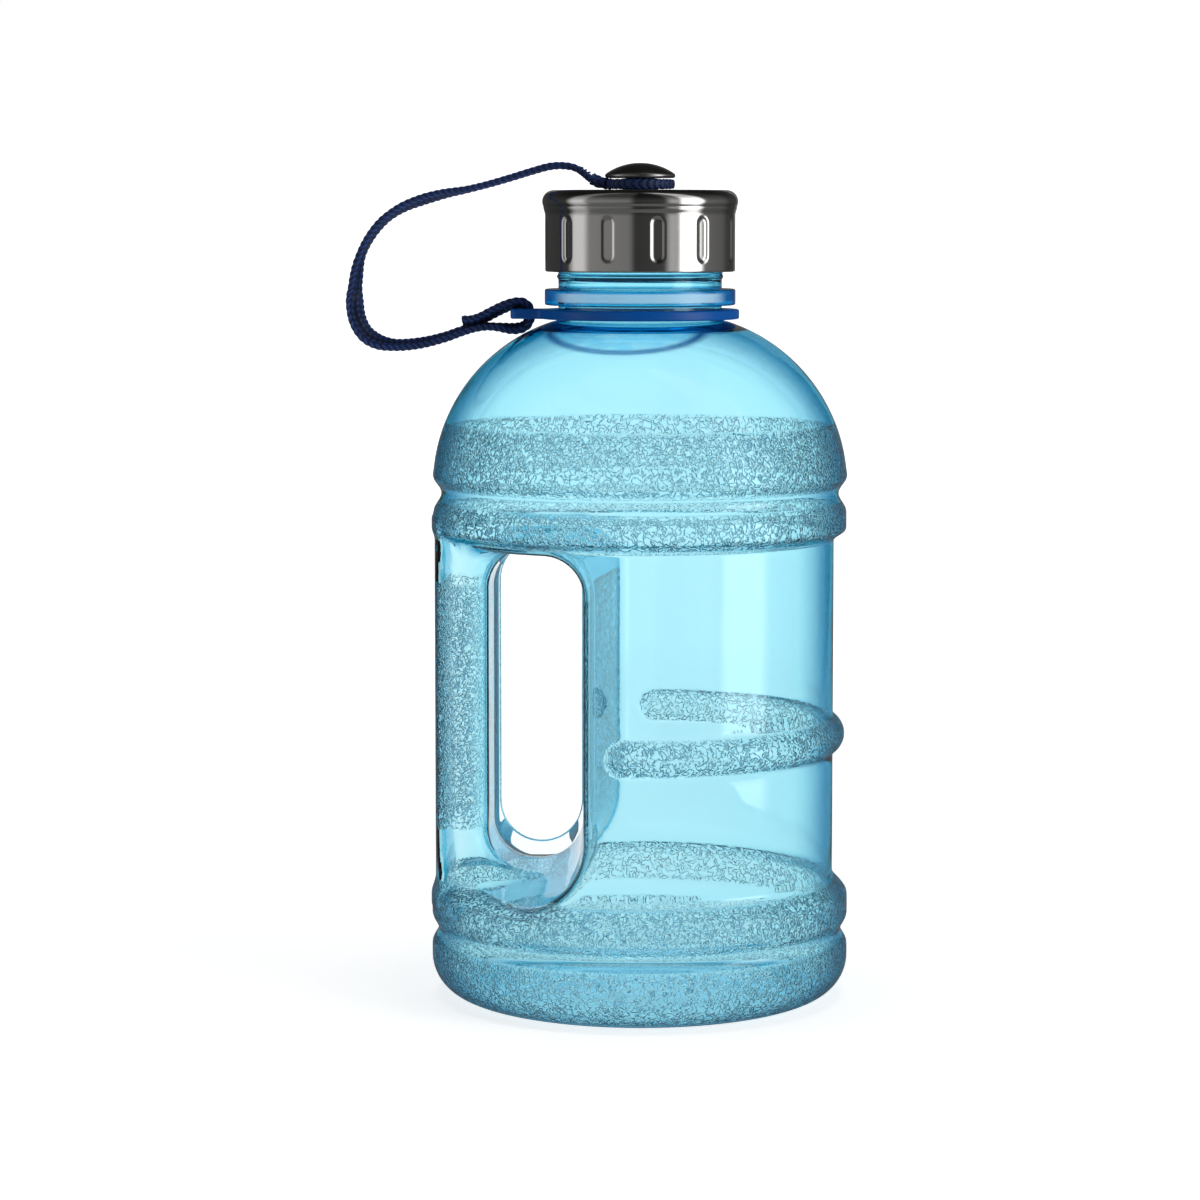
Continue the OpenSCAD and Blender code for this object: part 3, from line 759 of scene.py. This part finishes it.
MATS = {
    "clear_blue_plastic": clear_plastic(),
    "collar_plastic": moulded("collar_plastic", (0.0, 0.13, 0.55), 0.36),
    "cap_steel": steel("cap_steel", (0.60, 0.59, 0.58), 0.095),
    "knob_steel": steel("knob_steel", (0.42, 0.41, 0.40), 0.30),
    "screw_steel": steel("screw_steel", (0.55, 0.55, 0.56), 0.3),
    "liner_plastic": moulded("liner_plastic", (0.01, 0.06, 0.36), 0.35),
    "gasket_rubber": rubber(),
    "bush_plastic": tinted("bush_plastic", (0.03, 0.22, 0.75), 0.15),
    "strap_braid": braid_cloth("strap_braid", (0.014, 0.045, 0.19)),
    "strap_thread": braid_cloth("strap_thread", (0.014, 0.045, 0.20), shade_strands=False),
}


def dress(obj, slot):
    obj.data.materials.clear()
    obj.data.materials.append(MATS[slot])
    return obj


def piece(obj, body, slot, *nodes):
    """Give a finished piece its body, its material and the CAD nodes that it stands for."""
    dress(obj, slot)
    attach(obj, body)
    if nodes:
        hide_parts(*nodes)
    return obj


# ---- The body ----

piece(make_jug(), "jug", "clear_blue_plastic", "jug_body")
web = piece(make_web(), "jug", "clear_blue_plastic")
web.data.materials[0] = web_plastic()


# ---- Cap ----
CAP_R, CAP_FOOT_Z, CAP_TOP_Z, BEAD_R, STEEL_T = 29.4, 225.6, 250.7, 3.5, 0.4
DIMPLES, DIMPLE_Z, DIMPLE_DEPTH = 12, 235.6, 0.5


def dimple_depth(p):
    """Depth of the pressed grip dimples at each point of a row."""
    a = np.arctan2(p[:, 1], p[:, 0])
    sector = 2 * np.pi / DIMPLES
    u = ((a / sector - 0.5) - np.round(a / sector - 0.5)) * sector * CAP_R
    v = np.maximum(np.abs(p[:, 2] - DIMPLE_Z) - 4.9, 0)
    d = np.hypot(u, v)
    t = np.clip((2.4 - d) / 1.25, 0, 1)
    return DIMPLE_DEPTH * t * t * (3 - 2 * t)


def press(row):
    r = np.hypot(row[:, 0], row[:, 1])
    keep = 1 - dimple_depth(row) / r
    out = row.copy()
    out[:, :2] *= keep[:, None]
    return out


def shell_profile():
    bead = (26.8, CAP_TOP_Z - BEAD_R)
    hole, low, foot_z = 2.2, -26, CAP_TOP_Z - 7.9
    out = [(hole, CAP_TOP_Z), (8.0, CAP_TOP_Z), (20.0, CAP_TOP_Z - 0.02), (23.6, CAP_TOP_Z - 0.02)]
    out += ease((23.8, CAP_TOP_Z - 0.02), (24.6, CAP_TOP_Z), 3)
    out += arc(bead, BEAD_R, 90, low, 22)
    out += ease(out[-1], (CAP_R, foot_z), 8)
    out += [(CAP_R, z) for z in np.linspace(foot_z - 0.5, CAP_FOOT_Z + 0.9, 40)]
    out += arc((CAP_R - 0.5, CAP_FOOT_Z + 0.5), 0.5, 0, -110, 5)
    inner = [(CAP_R - STEEL_T, z) for z in np.linspace(CAP_FOOT_Z + 0.9, foot_z, 24)]
    inner += arc(bead, BEAD_R - STEEL_T, low, 90, 10)
    return out + inner + [(hole, CAP_TOP_Z - STEEL_T)]


piece(lathe("steel_shell", shell_profile(), 480, press), "cap", "cap_steel", "cap_shell")

KNOB_R, KNOB_Z, STEM_R = 10.9, (254.4, 259.1), 4.4


def knob_profile():
    dome = KNOB_Z[1] - KNOB_Z[0] - 1.2
    curve = (KNOB_R ** 2 + dome ** 2) / (2 * dome)
    edge = math.degrees(math.asin((KNOB_R - 0.45) / curve))
    path = [(0, CAP_TOP_Z), (STEM_R + 0.5, CAP_TOP_Z), (STEM_R, CAP_TOP_Z + 0.5),
            (STEM_R, KNOB_Z[0] - 0.2), (STEM_R + 0.5, KNOB_Z[0] + 0.15), (7.0, KNOB_Z[0] + 0.2),
            (KNOB_R - 1.6, KNOB_Z[0])]
    path += arc((KNOB_R - 0.75, KNOB_Z[0] + 0.75), 0.75, -80, 55, 7)
    path += arc((0, KNOB_Z[1] - curve), curve, 90 - edge + 1.5, 90, 14)[:-1]
    return path + [(0, KNOB_Z[1])]


piece(lathe("mushroom_knob", knob_profile(), 96), "cap", "knob_steel", "cap_knob")


def bush_profile():
    inner, outer, low, high, c = 4.48, 5.6, 250.85, 254.25, 0.25
    return ([(inner, low), (outer - c, low)] + arc((outer - c, low + c), c, -90, 0, 3)
            + arc((outer - c, high - c), c, 0, 90, 3) + [(inner, high)])


piece(lathe("knob_sleeve", bush_profile(), 64), "bush", "bush_plastic", "knob_bush")


# ---- Collar ----

def collar_outline():
    """Outer outline of the ring with its tab on -X, as points in order."""
    ring_r, reach, half, corner, blend = 30.7, 40.0, 6.0, 2.2, 3.0
    join = math.degrees(math.asin((half + blend) / (ring_r + blend)))
    bx = -(ring_r + blend) * math.cos(math.radians(join))
    outer = arc((0, 0), ring_r, -180 + join, 180 - join, 96)
    top = arc((bx, half + blend), blend, -join, -90, 6)
    tab = arc((-reach + corner, half - corner), corner, 90, 180, 6)
    low = arc((-reach + corner, -half + corner), corner, 180, 270, 6)
    back = arc((bx, -half - blend), blend, 90, join, 6)
    return outer + top + tab + low + back


def slot_outline():
    x0, x1, half, c = -37.2, -32.2, 4.0, 1.0
    return (arc((x1 - c, half - c), c, 0, 90, 4) + arc((x0 + c, half - c), c, 90, 180, 4)
            + arc((x0 + c, -half + c), c, 180, 270, 4) + arc((x1 - c, -half + c), c, 270, 360, 4))


def plate(name, loops, low, high, edge):
    """A flat plate with rounded edges, from its outlines. The first is its outside."""
    curve = bpy.data.curves.new(name, "CURVE")
    curve.dimensions = "2D"
    curve.fill_mode = "BOTH"
    curve.extrude = ((high - low) / 2 - edge) * MM
    curve.bevel_depth = edge * MM
    curve.bevel_resolution = 3
    curve.offset = -edge * MM
    for loop in loops:
        spline = curve.splines.new("POLY")
        spline.points.add(len(loop) - 1)
        for point, (x, y) in zip(spline.points, loop):
            point.co = (x * MM, y * MM, 0, 1)
        spline.use_cyclic_u = True
    maker = link(bpy.data.objects.new(name + "_curve", curve))
    bpy.context.view_layer.update()
    mesh = bpy.data.meshes.new_from_object(maker.evaluated_get(bpy.context.evaluated_depsgraph_get()))
    bpy.data.objects.remove(maker)
    bpy.data.curves.remove(curve)
    mesh.name = name
    bm = bmesh.new()
    bm.from_mesh(mesh)
    bmesh.ops.remove_doubles(bm, verts=bm.verts, dist=1e-6)
    bmesh.ops.translate(bm, verts=bm.verts, vec=(0, 0, (low + high) / 2 * MM))
    bmesh.ops.recalc_face_normals(bm, faces=bm.faces)
    bm.to_mesh(mesh)
    bm.free()
    obj = link(bpy.data.objects.new(name, mesh))
    mesh.shade_smooth()
    mesh.set_sharp_from_angle(angle=math.radians(50))
    return obj


collar = plate("collar_ring", [collar_outline(), arc((0, 0), 25.7, 0, 357, 119), slot_outline()],
               211.0, 214.0, 0.55)
piece(collar, "collar", "collar_plastic", "neck_collar")


# ---- Strap ----
# Route of the braid in the plane of the grip, as [x, z] in mm, from the knob's eye to its tail.
ROUTE = [(-19.4, 257.2), (-23.5, 258.2), (-28, 258), (-33.4, 256.6), (-40, 254.6), (-47, 252.6),
         (-54, 250.9), (-61, 249.6), (-68, 247.7), (-74.4, 245.2),
         (-80, 241.4), (-84.5, 236), (-87.6, 229.6), (-89, 222), (-89.3, 216), (-88.4, 210.4),
         (-86, 206.2), (-82.2, 203.7), (-77.6, 202.7), (-72.4, 202.8), (-66.5, 203.7), (-60.5, 205.3),
         (-56, 206.9), (-52, 208), (-48, 208.5), (-44, 208.3), (-40.5, 207.9), (-37.8, 208),
         (-35.8, 208.8), (-34.6, 210.4), (-34.3, 212.5), (-34.8, 214.4), (-36.3, 215.6),
         (-38.7, 215.7), (-42, 214.7), (-46, 212.8), (-49.5, 211), (-52.5, 210.1), (-55.4, 210)]
EYE_R, EYE_Z, STRAP_W, STRAP_T = 9.0, 252.55, 6.0, 2.0


def smooth_path(points, step=0.5):
    """A Catmull-Rom curve through the points, resampled to even steps."""
    p = np.array(points, float)
    ends = np.vstack([2 * p[0] - p[1], p, 2 * p[-1] - p[-2]])
    out = []
    for i in range(1, len(ends) - 2):
        a, b, c, d = ends[i - 1:i + 3]
        for t in np.linspace(0, 1, 24, endpoint=False):
            out.append(0.5 * (2 * b + (c - a) * t + (2 * a - 5 * b + 4 * c - d) * t ** 2
                              + (3 * b - a - 3 * c + d) * t ** 3))
    out.append(p[-1])
    out = np.array(out)
    s = np.r_[0, np.cumsum(np.linalg.norm(np.diff(out, axis=0), axis=1))]
    even = np.linspace(0, s[-1], max(2, round(s[-1] / step)) + 1)
    return np.stack([np.interp(even, s, out[:, k]) for k in range(p.shape[1])], 1), even


def braid(name, centre, side, width, thick, count=40):
    """A flat braid: an oval section swept along a path, with strands crossing in a herringbone."""
    pitch, relief, strands = 1.9, 0.5, 4
    s = np.r_[0, np.cumsum(np.linalg.norm(np.diff(centre, axis=0), axis=1))]
    tangent = np.gradient(centre, axis=0)
    tangent /= np.linalg.norm(tangent, axis=1)[:, None]
    side = side - (side * tangent).sum(1)[:, None] * tangent
    side /= np.linalg.norm(side, axis=1)[:, None]
    normal = np.cross(tangent, side)
    a = 2 * np.pi * np.arange(count) / count
    power = 0.62
    u = np.sign(np.cos(a)) * np.abs(np.cos(a)) ** power
    v = np.sign(np.sin(a)) * np.abs(np.sin(a)) ** power
    lane = strands * (1 - np.clip(u, -1, 1)) / 2
    lean = np.where(np.floor(lane) % 2 == 0, 1.0, -1.0)
    groove = np.abs(np.sin(np.pi * np.clip(lane, 0.001, strands - 0.001))) ** 0.4
    groove = np.maximum(groove, 0.75 * (np.abs(u) > 0.93))
    rows, faces, lifts = [], [], []
    for i in range(len(centre)):
        phase = s[i] / pitch + lean * (lane % 1) * 0.8
        lift = np.abs(np.sin(np.pi * phase)) ** 0.6 * groove
        lifts.append(lift)
        w, t = width[i] / 2, thick[i] / 2
        out = relief * (lift - 0.65)
        rows.append(centre[i] + np.outer(u * (w + out), side[i]) + np.outer(v * (t + out), normal[i]))
    for i in range(len(rows) - 1):
        first = list(range(i * count, (i + 1) * count))
        faces += ring_faces(first, [f + count for f in first], count)
    verts = np.concatenate(rows)
    n = len(rows) * count
    faces += [(j, (j + 1) % count, n) for j in range(count)]
    faces += [(n - count + j, n - count + (j + 1) % count, n + 1) for j in range(count)]
    verts = np.vstack([verts, centre[0], centre[-1]])
    obj = mesh_object(name, verts, faces)
    outward(obj)
    point_value(obj, "lift", np.r_[np.concatenate(lifts), 0.5, 0.5])
    return obj


def ramp(s, stops):
    """Values that run smoothly through (distance, value) stops."""
    xs, ys = zip(*stops)
    t = np.interp(s, xs, np.arange(len(xs)))
    k = np.floor(t)
    f = t - k
    f = f * f * (3 - 2 * f)
    return np.interp(k + f, np.arange(len(xs)), ys)


def make_strap():
    """The whole braid: round the bush, out over the bend, through the slot and back on itself."""
    turn = np.radians(np.linspace(172, -172, 40))
    eye = [(EYE_R * math.cos(t), EYE_R * math.sin(t), EYE_Z) for t in turn]
    head = [(-15.2, 1.3, 254.3), (-12.2, 1.6, 253.0)]
    run = [(x, 0.0, z) for x, z in ROUTE]
    foot = [(-11.6, -1.6, 252.8), (-15.0, -1.0, 254.0)]
    return head + eye + foot + run


path3, even = smooth_path(make_strap(), 0.32)
eye_end = 2 * math.pi * EYE_R
# turn of the flat face towards the front, in degrees, at distances past the eye
TWIST = [(0, 0), (18, 4), (48, 2), (66, 22), (80, 12), (92, 9), (102, 30), (111, 82), (118, 62),
         (130, 26), (148, 20), (160, 8), (168, 24), (190, 28)]
twist = np.radians(ramp(even, [(0, 0)] + [(eye_end + at, turn) for at, turn in TWIST]))
flat = np.stack([np.zeros_like(even), np.ones_like(even), np.zeros_like(even)], 1)
grad = np.gradient(path3, axis=0)
grad /= np.linalg.norm(grad, axis=1)[:, None]
radial = path3 * [1, 1, 0]
radial /= np.maximum(np.linalg.norm(radial, axis=1), 1e-6)[:, None]
on_eye = np.clip((eye_end + 9 - even) / 6, 0, 1)[:, None]
across = flat * (1 - on_eye) + radial * on_eye
across -= (across * grad).sum(1)[:, None] * grad
across /= np.linalg.norm(across, axis=1)[:, None]
other = np.cross(grad, across)
side = across * np.cos(twist)[:, None] + other * np.sin(twist)[:, None]
width = ramp(even, [(0, 3.4), (eye_end, 3.4), (eye_end + 14, STRAP_W - 0.3), (even[-1], STRAP_W - 0.3)])
thick = ramp(even, [(0, 2.9), (eye_end, 2.9), (eye_end + 14, STRAP_T), (even[-1], STRAP_T)])
strap = braid("strap_braid", path3, side, width, thick)
dress(strap, "strap_braid")
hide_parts("strap_upper", "strap_lower")
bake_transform(strap)

for node, slot in (("cap_liner", "liner_plastic"), ("cap_gasket", "gasket_rubber"),
                   ("cap_washer", "screw_steel"), ("cap_screw", "screw_steel"),
                   ("eye_stitching", "strap_thread"), ("collar_stitching", "strap_thread")):
    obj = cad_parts[node]
    obj.data.materials.clear()
    obj.data.materials.append(MATS[slot])


# ---- Stage, lights and camera ----

def stage_material():
    """Lit white paper. Polished surfaces see it dimmer than the camera does, as a black card would do."""
    n = Nodes("studio_white")
    n.set(Roughness=0.9)
    n.shader.inputs["Specular IOR Level"].default_value = 0.0
    n.shader.inputs["Emission Color"].default_value = (1, 1, 1, 1)
    path = n.add("ShaderNodeLightPath")
    mirrored = n.math("MULTIPLY", path.outputs["Is Glossy Ray"],
                      n.math("SUBTRACT", 1.0, path.outputs["Is Transmission Ray"]))
    n.join(n.blend(mirrored, (0.85, 0.86, 0.87), (0.12, 0.12, 0.12)), n.shader.inputs["Base Color"])
    n.join(n.math("MULTIPLY_ADD", mirrored, -0.65, 0.75), n.shader.inputs["Emission Strength"])
    return n.mat


def sweep():
    """A white sheet that lies under the jug and curves up behind it."""
    half, front, back, rise, bend = 0.44, -0.5, 1.3, 0.75, 0.4
    profile = [(front, 0.0), (back - bend, 0.0)]
    profile += [(back - bend + bend * math.sin(t), bend - bend * math.cos(t))
                for t in np.linspace(0, math.pi / 2, 16)[1:]]
    profile += [(back, rise)]
    verts = [(x, y, z) for y, z in profile for x in (-half, half)]
    faces = [(2 * i, 2 * i + 1, 2 * i + 3, 2 * i + 2) for i in range(len(profile) - 1)]
    obj = mesh_object("studio_sweep", verts, faces, 1.0)
    obj.data.materials.append(stage_material())


sweep()


# brightness round the jug, as (bearing in degrees, strength)
LIGHT_STOPS = [(-180, 0.06), (-93, 0.05), (-82, 0.9), (-68, 0.9), (-60, 0.30), (-8, 0.24), (-2, 0.05),
               (34, 0.07), (42, 0.6), (52, 0.5), (57, 3.2), (80, 3.2), (88, 0.2), (122, 0.14),
               (136, 0.06), (180, 0.06)]
STRONGEST, HIGH_FLOOR, SEEN_THROUGH = 3.2, 0.22, 0.85


def studio_world():
    """Light round the jug by bearing: a tall soft box on each side, a dim panel, and dark gaps."""
    world = bpy.data.worlds.new("studio")
    world.use_nodes = True
    tree = world.node_tree
    back = tree.nodes["Background"]
    back.inputs["Color"].default_value = (1, 1, 1, 1)
    coord = tree.nodes.new("ShaderNodeTexCoord")
    split = tree.nodes.new("ShaderNodeSeparateXYZ")
    tree.links.new(coord.outputs["Generated"], split.inputs[0])

    def calc(op, *values):
        return math_node(tree, op, values)

    # bearing from the camera's side (-Y), -180 to 180 degrees, positive towards +X
    bearing = calc("ARCTAN2", split.outputs["X"], calc("MULTIPLY", split.outputs["Y"], -1.0))
    place = calc("MULTIPLY_ADD", bearing, 1 / (2 * math.pi), 0.5)
    ramp_node = tree.nodes.new("ShaderNodeValToRGB")
    tree.links.new(place, ramp_node.inputs[0])
    elements = ramp_node.color_ramp.elements
    while len(elements) > 1:
        elements.remove(elements[0])
    for i, (angle, value) in enumerate(LIGHT_STOPS):
        at = angle / 360 + 0.5
        element = elements[0] if i == 0 else elements.new(at)
        element.position = at
        shade = value / STRONGEST
        element.color = (shade, shade, shade, 1)
    high = calc("SUBTRACT", 1.0, calc("MULTIPLY", calc("ABSOLUTE", split.outputs["Z"]), 1.15))
    high = calc("MAXIMUM", high, HIGH_FLOOR)
    level = calc("MULTIPLY", high, STRONGEST)
    level = calc("MULTIPLY", level, ramp_node.outputs[0])
    path = tree.nodes.new("ShaderNodeLightPath")
    level = calc("MAXIMUM", level, calc("MULTIPLY", path.outputs["Is Transmission Ray"], SEEN_THROUGH))
    level = calc("MAXIMUM", level, path.outputs["Is Camera Ray"])
    tree.links.new(level, back.inputs["Strength"])
    bpy.context.scene.world = world


studio_world()


def area(name, place, target, size, power):
    """A soft box that lights surfaces and isn't seen in them or through them."""
    light = bpy.data.lights.new(name, "AREA")
    light.shape = "RECTANGLE"
    light.size, light.size_y = size
    light.energy = power
    obj = link(bpy.data.objects.new(name, light))
    obj.location = place
    obj.rotation_euler = (Vector(target) - Vector(place)).to_track_quat("-Z", "Y").to_euler()
    obj.visible_glossy = False
    obj.visible_transmission = False


area("top_box", (0.0, 0.0, 1.6), (0, 0, 0.14), (0.8, 0.6), 5)
bpy.context.scene.view_settings.view_transform = "Standard"


def make_camera():
    """Level with the cap's top, tilted down, a little round towards the side away from the grip."""
    distance, height, swing = 1.111, 0.2431, math.radians(4.6)
    data = bpy.data.cameras.new("camera")
    data.lens = 107.4
    data.sensor_width = 36
    data.shift_y = -0.06
    tilt, pan = math.radians(5.0), math.radians(0.64)
    cam = link(bpy.data.objects.new("camera", data))
    cam.location = (distance * math.sin(swing), -distance * math.cos(swing), height)
    cam.rotation_euler = (math.pi / 2 - tilt, 0, swing + pan)
    bpy.context.scene.camera = cam


make_camera()
